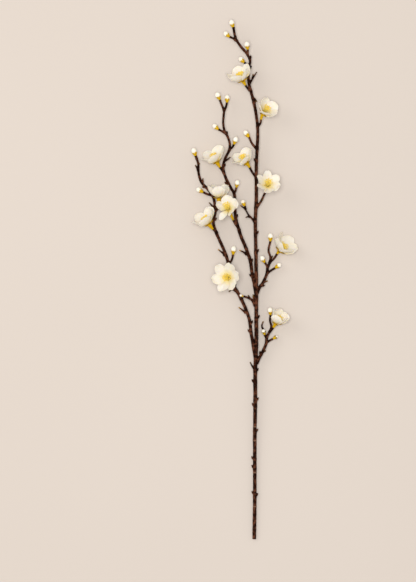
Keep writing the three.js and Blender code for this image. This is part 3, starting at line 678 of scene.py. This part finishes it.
def more_buds(r, knobs, rng):
    """A limb's dormant buds, with more of them wherever an internode has room."""
    spots = list(knobs)
    count = int(r.length[-1] / INTERNODE)
    for k in range(count):
        share = (k + rng.uniform(0.25, 0.75)) / (count + 1)
        if min(abs(reached(r, share) - reached(r, s)) for s, _ in spots) > BUD_GAP:
            spots.append((share, rng.choice(BUD_ANGLES)))
    return spots


def dormant_bud(body, r, radii, share, angle, rng):
    """A pointed scale-covered bud that hugs a limb, on a small swelling."""
    i = int(np.argmin(abs(r.places - share * r.last)))
    a = math.radians(angle)
    out = r.right[i] * math.cos(a) + r.up[i] * math.sin(a)
    ahead = r.forward[i]
    big = rng.uniform(1.1, 1.35)
    foot = r.points[i] + out * (radii[i] - 0.55) - ahead * 0.5
    tip = r.points[i] + out * (radii[i] + 1.05 * big) + ahead * 2.5 * big
    axis = unit(tip - foot)
    side = unit(np.cross(axis, out))
    lift = np.cross(side, axis)
    angles = 2 * np.pi * np.arange(12) / 12
    rings = []
    for t, width in BUD_OUTLINE:
        centre = foot + (tip - foot) * t + lift * 0.12 * math.sin(math.pi * t)
        rings.append([centre + (side * math.cos(b) - lift * math.sin(b) * 0.85) * width * 0.95 * big
                      for b in angles])
    body.loft(rings)
    BUD_SPOTS.append((foot + (tip - foot) * 0.6, 1.5 * big))


def rough_wood():
    """Every limb, twig and snag as a closed body of its own, in one mesh."""
    rng = random.Random(11)
    body = Body()
    for number, (bends, knobs) in enumerate(zip(LIMBS, KNOBS), 1):
        r = route(bends)
        radii = np.interp(r.places, np.arange(len(bends)), [b[3] for b in bends])
        spots = more_buds(r, knobs, rng)
        for share, _ in spots:
            radii = radii + swelling(r.length - reached(r, share) + 0.6, *NODE)
        radii = radii * (1 + UNEVEN * np.array([noise.noise(Vector((s * 0.11, number * 7.7, 0)))
                                                for s in r.length]))
        if number in (1, 2):  # a bud stands on its end
            radii = radii + swelling(r.left, *COLLAR)
        tube(body, r, radii, SIDES["stem" if number == 1 else "limb"])
        keep(r, radii, number)
        for share, angle in spots:
            dormant_bud(body, r, radii, share, angle, rng)
    for number, (bends, gold) in enumerate([(b, None) for b, _ in BLOOMS + BUDS] + SNAGS, number + 1):
        snag = gold is not None
        r = route(bends)
        radii = np.interp(r.places / r.last, [0, 0.5, 1], SNAG_RADII if snag else TWIG_RADII)
        if not snag:
            radii = radii + swelling(r.left, *TWIG_END)
        radii = radii + swelling(r.length, *TWIG_FOOT)
        tube(body, r, radii, SIDES["twig"], rounded=snag)
        keep(r, radii, number, gold or 0.0)
    points, faces, _ = body.joined()
    mesh = bpy.data.meshes.new("wood_rough")
    mesh.from_pydata((points * MM).tolist(), [], faces)
    mesh.validate()
    return mesh


def modified(mesh, kind, **settings):
    """A new mesh that a modifier makes of a mesh."""
    piece = placed("modified", mesh)
    modifier = piece.modifiers.new("modifier", kind)
    for key, value in settings.items():
        setattr(modifier, key, value)
    bpy.context.view_layer.update()
    made = bpy.data.meshes.new_from_object(piece.evaluated_get(bpy.context.evaluated_depsgraph_get()))
    bpy.data.objects.remove(piece)
    bpy.data.meshes.remove(mesh)
    return made


def of_vertices(mesh, field):
    values = np.zeros(len(mesh.vertices) * 3, np.float32)
    mesh.vertices.foreach_get(field, values)
    return values.reshape(-1, 3).astype(float)


def scars(points):
    """1 on a ring round the stem, 0 away from it."""
    return sum(swelling(points[:, 1] - y, 1, SCAR_WIDTH) for y in SCARS)


def bark_places(points, tree):
    """Each point's place in a limb's grain, how golden it is, and 1 where another limb is as near."""
    grain = np.zeros((len(points), 3))
    tip, seam = np.zeros(len(points)), np.zeros(len(points))
    for i, p in enumerate(points):
        near = sorted((away - SAMPLES[k].radius, k) for _, k, away in tree.find_n(p, NEAR_SAMPLES))
        depth, k = near[0]
        own = SAMPLES[k]
        off = p - own.point
        grain[i] = off @ own.right, off @ own.up, own.along
        tip[i] = own.gold
        other = next((d for d, j in near if SAMPLES[j].limb != own.limb), math.inf)
        seam[i] = 1 - (other - depth) / SEAM_WIDTH
    return grain, tip, smooth(seam)


def bud_places(points):
    """1 in the middle of a dormant bud, 0 away from it, and above 1 on the cut end."""
    tree = search_tree([spot for spot, _ in BUD_SPOTS])
    fresh = np.zeros(len(points))
    for i, p in enumerate(points):
        _, k, distance = tree.find(p)
        fresh[i] = 1 - distance / BUD_SPOTS[k][1]
    return np.maximum(smooth(fresh), 1.6 * smooth((CUT_Y + CUT_DEPTH - points[:, 1]) / 0.5))


def build_wood():
    """One skin over all of the wood, with the bark's relief."""
    mesh = modified(rough_wood(), "REMESH", mode="VOXEL", voxel_size=VOXEL * MM)
    mesh = modified(mesh, "SMOOTH", factor=0.5, iterations=3)
    tree = search_tree([s.point for s in SAMPLES])
    points, normal = of_vertices(mesh, "co") / MM, of_vertices(mesh, "normal")
    grain, _, seam = bark_places(points, tree)
    relief = (RIDGES[0] * (waves(grain * RIDGES[1], 1.0, 1) * (1 - seam))
              + LUMPS[0] * waves(points, LUMPS[1], 2)
              + GRIT[0] * waves(points, GRIT[1], 3) + SCAR_HEIGHT * scars(points))
    points += normal * relief[:, None]
    points[:, 1:] = np.maximum(points[:, 1:], (CUT_Y, 0))
    mesh.vertices.foreach_set("co", (points * MM).astype(np.float32).ravel())
    mesh.update()
    triangles = sum(len(p.vertices) - 2 for p in mesh.polygons)
    if triangles > MOST_TRIANGLES:
        mesh = modified(mesh, "DECIMATE", ratio=MOST_TRIANGLES / triangles)
    points = of_vertices(mesh, "co") / MM
    grain, tip, seam = bark_places(points, tree)
    add_attributes(mesh, grain=grain, tip=tip, seam=seam, fresh=bud_places(points), ring=scars(points))
    mesh.materials.clear()
    mesh.materials.append(BARK)
    mesh.shade_smooth()
    dress(placed("wood", mesh), ["branch"])


build_wood()

# ---- blooms
# Each is made in a frame of its own, with +Z along its axis and the top of its neck near the origin.

SEAT = 0.3  # how far a bloom's or a bud's foot stands off its twig's end
PETAL_ROOT, PETAL_FLOOR = 2.0, 0.75  # where a petal starts: away from the axis, and up it
PETAL_THICK, PETAL_THINNER = 0.17, 0.08  # half its thickness, and how much of that its rim lacks
BREADTH = 0.82  # of a petal, as a share of its length, on a bloom of five
WIDTHS = {5: (0.98, 1.05), 6: (0.84, 0.98)}  # least and most, as a share of that
DROOP_LEAN, DROOP_WIDTH = 100, 0.72  # a drooping petal's lean at the tip, and its width
SHOULDER, ROUND_TIP = 0.56, 0.44  # how long a petal is up to its round tip, and along that
NOTCH, NOTCH_WIDTH = 0.045, 0.16  # the deepest notch in the tip, and its width
CUP, TWIST = 0.2, 0.2  # how far a petal's edges rise, and one over the other, by half its width
RUFFLE, GROOVE, GROOVE_WIDTH = 1.4, 0.16, 0.14  # how far its rim waves, and the groove of its midrib
ROWS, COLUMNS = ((22, 19))
RECEPTACLE = ((1.0, 0.38), (2.05, 0.5), (2.2, 0.72), (2.05, 0.98), (1.2, 1.12), (0.3, 1.14))

# the neck and cup: how far along, and the radius there; then the cup's floor, and the ribs on it
CUP_LEVELS = ((0.0, 1.15), (0.05, 1.3), (0.14, 1.25), (0.3, 1.38), (0.45, 1.62), (0.6, 1.9),
              (0.75, 2.12), (0.87, 2.26), (0.95, 2.3), (1.0, 2.22))
CUP_FLOOR, CUP_SIDES, RIB, CUP_TOP = (1.4, -0.05), 30, 0.05, -0.35
STALK_SUNK = 0.15  # how far the neck starts inside its twig
SEPALS, SEPAL_ROWS, SEPAL_COLUMNS = 5, 12, 9
SEPAL_WIDE, SEPAL_ROOT, SEPAL_REACH = 1.28, 1.5, 6.5
SEPAL_THICK, SEPAL_THINNER = 0.3, 0.16  # half its thickness, and how much of that its rim lacks

# radius and height of each ring of the nectar disc
DISC = ((1.2, 1.05), (1.75, 1.12), (1.72, 1.4), (1.35, 1.75), (0.85, 1.98), (0.25, 2.06))
DISC_SIDES, STAMENS = 20, 40
# of the outer stamens, then the inner: least and most lean and length, and the place of the root
RINGS_OF_STAMENS = (((13, 25), (6.4, 7.8), 1.2, 1.5), ((5, 13), (5.6, 7.2), 0.75, 1.65))
FILAMENT = (0.17, 0.15, 0.14, 0.13, 0.12, 0.11)
SAC_APART = 0.2
SAC_PLACES, SAC_RADII = (-0.34, -0.2, 0.06, 0.36, 0.6, 0.7), (0.08, 0.26, 0.34, 0.33, 0.22, 0.07)
PISTIL_FOOT, PISTIL_LONG, PISTIL_RADII = 1.9, 6.4, (0.34, 0.24, 0.17, 0.15, 0.15, 0.17, 0.3)


def petal_blade(turn, share, length, breadth, lean, seed):
    """The points and faces of one petal, and its blade and cloth attributes."""
    rng = random.Random(seed)
    row = np.linspace(0, 1, ROWS)[:, None] ** 0.9 * np.ones((1, COLUMNS))
    v = np.sin(np.linspace(-1, 1, COLUMNS) * np.pi / 2)[None, :] * np.ones((ROWS, 1))
    # each column runs to the round tip; u is how far up the petal a point is
    wobble = np.array([noise.noise(Vector((x * 1.7, seed * 3.1, 0))) for x in v[0]])[None, :]
    notch = rng.uniform(0.0, NOTCH)
    u = row * (SHOULDER + ROUND_TIP * np.sqrt(1 - 0.985 * v ** 2) + 0.035 * wobble
               - notch * np.exp(-(v / NOTCH_WIDTH) ** 2))
    # the midrib's arc, integrated along the lean
    first, last = (math.radians(x) for x in lean)
    angle = first + (last - first) * u
    away = length * ((math.cos(first) - np.cos(angle)) / (last - first))
    height = PETAL_FLOOR + length * ((np.sin(angle) - math.sin(first)) / (last - first))
    half = breadth / 2 * np.sin(np.pi / 2 * np.minimum(1, (u + 0.04) / 0.6)) ** 0.85
    half = half * (1 - 0.05 * np.clip((u - SHOULDER) / ROUND_TIP, 0, 1) ** 2)
    edge = np.maximum(abs(v) ** 2, row ** 3)
    ruffle = np.array([[noise.noise(Vector((v[i, j] * 1.9, u[i, j] * 2.4, seed * 1.37)))
                        for j in range(COLUMNS)] for i in range(ROWS)])
    raised = half * (CUP * v ** 2 + TWIST * v) + ruffle * RUFFLE * edge * smooth(u / 0.6)
    raised -= GROOVE * np.exp(-(v / GROOVE_WIDTH) ** 2) * np.sin(np.pi * np.clip(u, 0, 1))
    thick = PETAL_THICK - PETAL_THINNER * np.maximum(abs(v) ** 4, row ** 6)
    outward, sideways = np.array([heading(turn), heading(turn + 90)])
    root = np.array([heading(turn + share * x / 2) for x in v[0]]) * PETAL_ROOT
    settle = smooth(u / 0.2)[..., None]  # from a fan round the receptacle to the petal's own shape
    shells = []
    for side in (1, -1):
        r = raised + side * thick
        flat = ((v * half)[..., None] * sideways
                + (PETAL_ROOT + away - np.cos(angle) * r)[..., None] * outward)
        flat[..., 2] = height + np.sin(angle) * r
        fan = root[None] + away[..., None] * outward
        fan[..., 2] = height + side * thick
        shells.append(fan * (1 - settle) + flat * settle)
    points, faces = thin_leaf(*shells)
    blade = np.stack([u, v, np.full_like(u, rng.uniform(0, 20))], -1).reshape(-1, 3)
    cloth = np.stack([v * half, length * u, np.full_like(u, seed * 3.0)], -1).reshape(-1, 3)
    return points, faces, np.tile(blade, (2, 1)), np.tile(cloth, (2, 1))


def build_petals(number, bloom, moves):
    body = Body()
    share = 360 / bloom.petals
    first, last = bloom.opening
    rng = random.Random(100 + number)
    for k in range(bloom.petals):
        if k + 1 == bloom.drooping:
            lean, width = (first, DROOP_LEAN), DROOP_WIDTH
        else:
            lean = first + rng.uniform(-2.5, 0), last + rng.uniform(-9, 0)
            width = rng.uniform(*WIDTHS[bloom.petals])
        breadth = BREADTH * bloom.reach * math.sqrt(5 / bloom.petals) * width
        points, faces, blade, cloth = petal_blade(
            bloom.roll + share * k, share, bloom.reach * rng.uniform(0.96, 1.01), breadth, lean,
            number * 10 + k)
        body.add(points, faces, blade=blade, cloth=cloth)
    # the receptacle that the petals grow from
    rings = np.array([circle(radius, z, 24) for radius, z in RECEPTACLE])
    n = rings[..., 0].size
    body.loft(rings, blade=np.tile((0.0, 0.0, 1.0), (n, 1)), cloth=np.zeros((n, 3)))
    make_part("petals", number, body, PETAL, "petal", moves)


def sepal(turn, rise, curl):
    """The points and faces of one sepal, and how far along it each point is."""
    outward, sideways = np.array([heading(turn), heading(turn + 90)])
    t, w = np.meshgrid(np.linspace(0, 1, SEPAL_ROWS), np.linspace(-1, 1, SEPAL_COLUMNS), indexing="ij")
    width = SEPAL_WIDE * np.sqrt(np.clip(1 - t ** 2.6, 0, 1)) * (0.86 + 0.35 * t) + 0.06
    out = SEPAL_ROOT + (SEPAL_REACH - SEPAL_ROOT) * t * (1 - 0.06 * w ** 2)
    height = -0.62 + (rise + 0.25) * t + curl * t ** 3 - 0.28 * w ** 2 * width
    thick = SEPAL_THICK - SEPAL_THINNER * np.maximum(t ** 2, abs(w) ** 3)
    shells = []
    for side in (1, -1):
        p = (w * width)[..., None] * sideways + out[..., None] * outward
        p[..., 2] = height + side * thick
        shells.append(p)
    points, faces = thin_leaf(*shells)
    return points, faces, np.tile(t.ravel(), 2)


def build_calyx(number, bloom, backwards, moves):
    """The neck bends from the twig to the bloom's axis and widens into a cup with five sepals."""
    body = Body()
    start = np.array(backwards * (bloom.stalk + SEAT + STALK_SUNK) + Vector((0, 0, -bloom.neck)))
    bend, end = np.array((0, 0, -bloom.neck)), np.array((0, 0, CUP_TOP))
    rings, reach = [], []
    for t, radius in CUP_LEVELS:
        centre = start * (1 - t) ** 2 + 2 * bend * t * (1 - t) + end * t ** 2
        ahead = unit(2 * (bend - start) * (1 - t) + 2 * (end - bend) * t + np.array((0, 0, 1e-6)))
        turned = UP.rotation_difference(Vector(ahead))
        ring = []
        for i in range(CUP_SIDES):
            a = 360 / CUP_SIDES * i + bloom.roll
            rib = 1 + RIB * math.cos(math.radians(5 * (a - bloom.roll))) * min(1, t * 2)
            ring.append(np.array(turned @ (heading(a) * radius * rib)) + centre)
        rings.append(ring)
        reach += [t] * CUP_SIDES
    rings = np.array(rings + [circle(*CUP_FLOOR, CUP_SIDES, bloom.roll)])
    reach += [1.0] * CUP_SIDES
    body.loft(rings, reach=np.array(reach), grain=rings.reshape(-1, 3) + number * 11.0)
    # under the petals, which lean more than the sepals do
    rise = (6.4 - 2.2) / math.tan(math.radians(bloom.opening[0] + 8))
    for k in range(SEPALS):
        curl = random.Random(number * 31 + k).uniform(-0.5, 0.15)
        points, faces, t = sepal(bloom.roll + 36 + 72 * k, rise, curl)
        body.add(points, faces, reach=1 + t, grain=points + number * 11.0)
    make_part("calyx", number, body, CALYX, "calyx", moves)


def thread(body, points, radii, sides, parts):
    """A thin round stalk through points, with a value for each."""
    points = np.array(points)
    forward = unit(np.gradient(points, axis=0))
    side = unit(np.cross(forward, (0.3, 0.9, 0.1)))
    up = np.cross(side, forward)
    rings = points[:, None] + circles(side, up, sides) * np.array(radii)[:, None, None]
    body.loft(rings, part=np.repeat(parts, sides), grain=rings.reshape(-1, 3))


def build_stamens(number, bloom, moves):
    body = Body()
    rng = random.Random(500 + number)
    rings = np.array([circle(radius, z, DISC_SIDES) for radius, z in DISC])
    body.loft(rings, part=np.zeros(rings[..., 0].size), grain=rings.reshape(-1, 3))
    for k in range(STAMENS):
        turn = bloom.roll + 360 * k / STAMENS + rng.uniform(-4, 4)
        leans, lengths, away, height = RINGS_OF_STAMENS[k % 2]
        lean, length = rng.uniform(*leans), rng.uniform(*lengths)
        root = np.array(heading(turn)) * away + (0, 0, height)
        out = np.array(heading(turn + rng.uniform(-12, 12)))
        line = []
        for t in np.linspace(0, 1, len(FILAMENT)):
            bend = math.radians(lean) * (0.35 + 0.65 * t)
            line.append(root + out * math.sin(bend) * length * t + (0, 0, math.cos(bend) * length * t))
        thread(body, line, FILAMENT, 6, np.linspace(1, 2, len(FILAMENT)))
        # two pollen sacs side by side
        ahead = unit(line[-1] - line[-2])
        side = unit(np.cross(ahead, (0.2, 0.1, 1.0)) + 1e-6)
        for s in (-SAC_APART, SAC_APART):
            sac = [line[-1] + side * s + ahead * z for z in SAC_PLACES]
            thread(body, sac, SAC_RADII, 7, [3.0] * len(sac))
    line = [np.array((0.12 * math.sin(t * 3), 0.1 * t, PISTIL_FOOT + PISTIL_LONG * t))
            for t in np.linspace(0, 1, len(PISTIL_RADII))]
    thread(body, line, PISTIL_RADII, 8, [1, 1.3, 1.6, 1.8, 1.9, 2, 1.4])
    body.values["grain"] = [grain + number * 5.0 for grain in body.values["grain"]]
    make_part("stamens", number, body, STAMEN, "stamen", moves)


def build_bloom(number, bends, bloom):
    before, end = Vector(bends[-2]), Vector(bends[-1])
    along = (end - before).normalized()
    axis = heading(bloom.turn, bloom.rise)
    rotation = UP.rotation_difference(axis)
    moves = (rotation, end + along * (SEAT + bloom.stalk) + axis * bloom.neck)
    build_petals(number, bloom, moves)
    build_calyx(number, bloom, rotation.inverted() @ -along, moves)
    build_stamens(number, bloom, moves)


for number, (bends, bloom) in enumerate(BLOOMS, 1):
    build_bloom(number, bends, bloom)

# ---- buds
# Each is made in a frame of its own, with +Z along its axis and its foot at the origin, at size 1.

BALL_UP, BALL_HALF, BALL_WIDE = 5.2, 3.1, 2.75  # the ball of petals: its middle, half height, radius
BALL_ROWS, BALL_COLUMNS = 26, 60
WINDING, LAP = 115, 0.26  # how far each petal winds round the ball, and the step at its edge
CUP_ROWS, CUP_COLUMNS = 16, 50
FOOT, BELLY, RIM, LOBES = -0.42, 1.5, 2.2, 1.7  # heights of the cup; the last is above its rim
YOUNG_BUDS, SHUT = (19, 20), 2.0  # the youngest, and how much higher their cups reach
CUP_THICK, CUP_THINNER = 0.34, 0.12
RIM_REACH, LOBE_REACH = 2.3, 1.9  # heights that the cup's reach attribute goes by


def build_bud(number, turn, rise, size, end):
    axis = heading(turn, rise)
    moves = (UP.rotation_difference(axis), end + axis * SEAT)
    spin = random.Random(900 + number).uniform(0, 360)
    node = f"bud_{number:02d}"

    # the ball: five petals wrapped round one another, each edge a small step
    points, blade = [], []
    for i in range(BALL_ROWS):
        t = i / (BALL_ROWS - 1)
        polar = math.pi * (1 - t)
        z = BALL_UP + BALL_HALF * math.cos(polar) + 0.12 * max(0.0, t - 0.8) / 0.2
        base = BALL_WIDE * math.sin(polar) ** 0.92 if 0 < t < 1 else 0.02
        for j in range(BALL_COLUMNS):
            a = 360 * j / BALL_COLUMNS
            wrap = ((a + WINDING * t ** 1.6) / 72) % 1.0
            step = LAP * (1 - wrap) * math.sin(math.pi * min(1, t * 1.1)) ** 0.6 if t > 0 else 0
            swell = 0.02 * math.sin(math.radians(a * 2 + number * 40))
            r = base * (1 + swell + (step - 0.2) / BALL_WIDE)
            points.append(np.array(heading(a + spin)) * r * size + (0, 0, z * size))
            blade.append((t, wrap, number))
    points = np.array(points)
    make(f"bud_petals_{number:02d}", points, closed_faces(BALL_ROWS, BALL_COLUMNS), BUD, "bud", node,
         moves, blade=blade, grain=points + number * 3.0)

    # the golden cup with its five sepals
    outer, inner, reach = [], [], []
    for i in range(CUP_ROWS):
        t = i / (CUP_ROWS - 1)
        for j in range(CUP_COLUMNS):
            a = 360 * j / CUP_COLUMNS
            lobe = abs(math.cos(math.radians(a * 2.5)))  # 1 amid a sepal, 0 between two
            top = RIM + LOBES * lobe ** 0.7 + (SHUT if number in YOUNG_BUDS else 0)
            z = FOOT + (top - FOOT) * t
            if z < BELLY:
                r = np.interp(z, (FOOT, 0.0, 0.5, BELLY), (1.1, 1.22, 1.3, 1.8))
            else:
                q = (z - BALL_UP) / BALL_HALF
                r = max(BALL_WIDE * math.sqrt(max(0, 1 - q * q)) + 0.18,
                        np.interp(z, (BELLY, 2.6), (1.8, 2.3)))
            r += 0.06 * lobe * t
            around = np.array(heading(a + spin + 20))
            outer.append(around * r * size + (0, 0, z * size))
            inner.append(around * max(r - CUP_THICK + CUP_THINNER * t, 0.2) * size
                         + (0, 0, max(z, 0.4 * t) * size))
            beyond = 1 + (z - RIM_REACH) / LOBE_REACH * 0.8
            reach.append(max(0.0, min(2.0, z / RIM_REACH if z < RIM_REACH else beyond)))
    n = CUP_ROWS * CUP_COLUMNS
    faces = (grid_faces(CUP_ROWS, CUP_COLUMNS, wrap=True)
             + grid_faces(CUP_ROWS, CUP_COLUMNS, n, wrap=True, flip=True))
    for j in range(CUP_COLUMNS):
        d = (j + 1) % CUP_COLUMNS
        top = (CUP_ROWS - 1) * CUP_COLUMNS
        faces.append([top + j, top + d, top + d + n, top + j + n])
        faces.append([d, j, j + n, d + n])
    points = np.array(outer + inner)
    make(f"bud_cup_{number:02d}", points, faces, CALYX, "calyx", node, moves,
         reach=reach + reach, grain=points + number * 7.0)


for number, (bends, (turn, rise, size)) in enumerate(BUDS, 1):
    build_bud(number, turn, rise, size, Vector(bends[-1]))
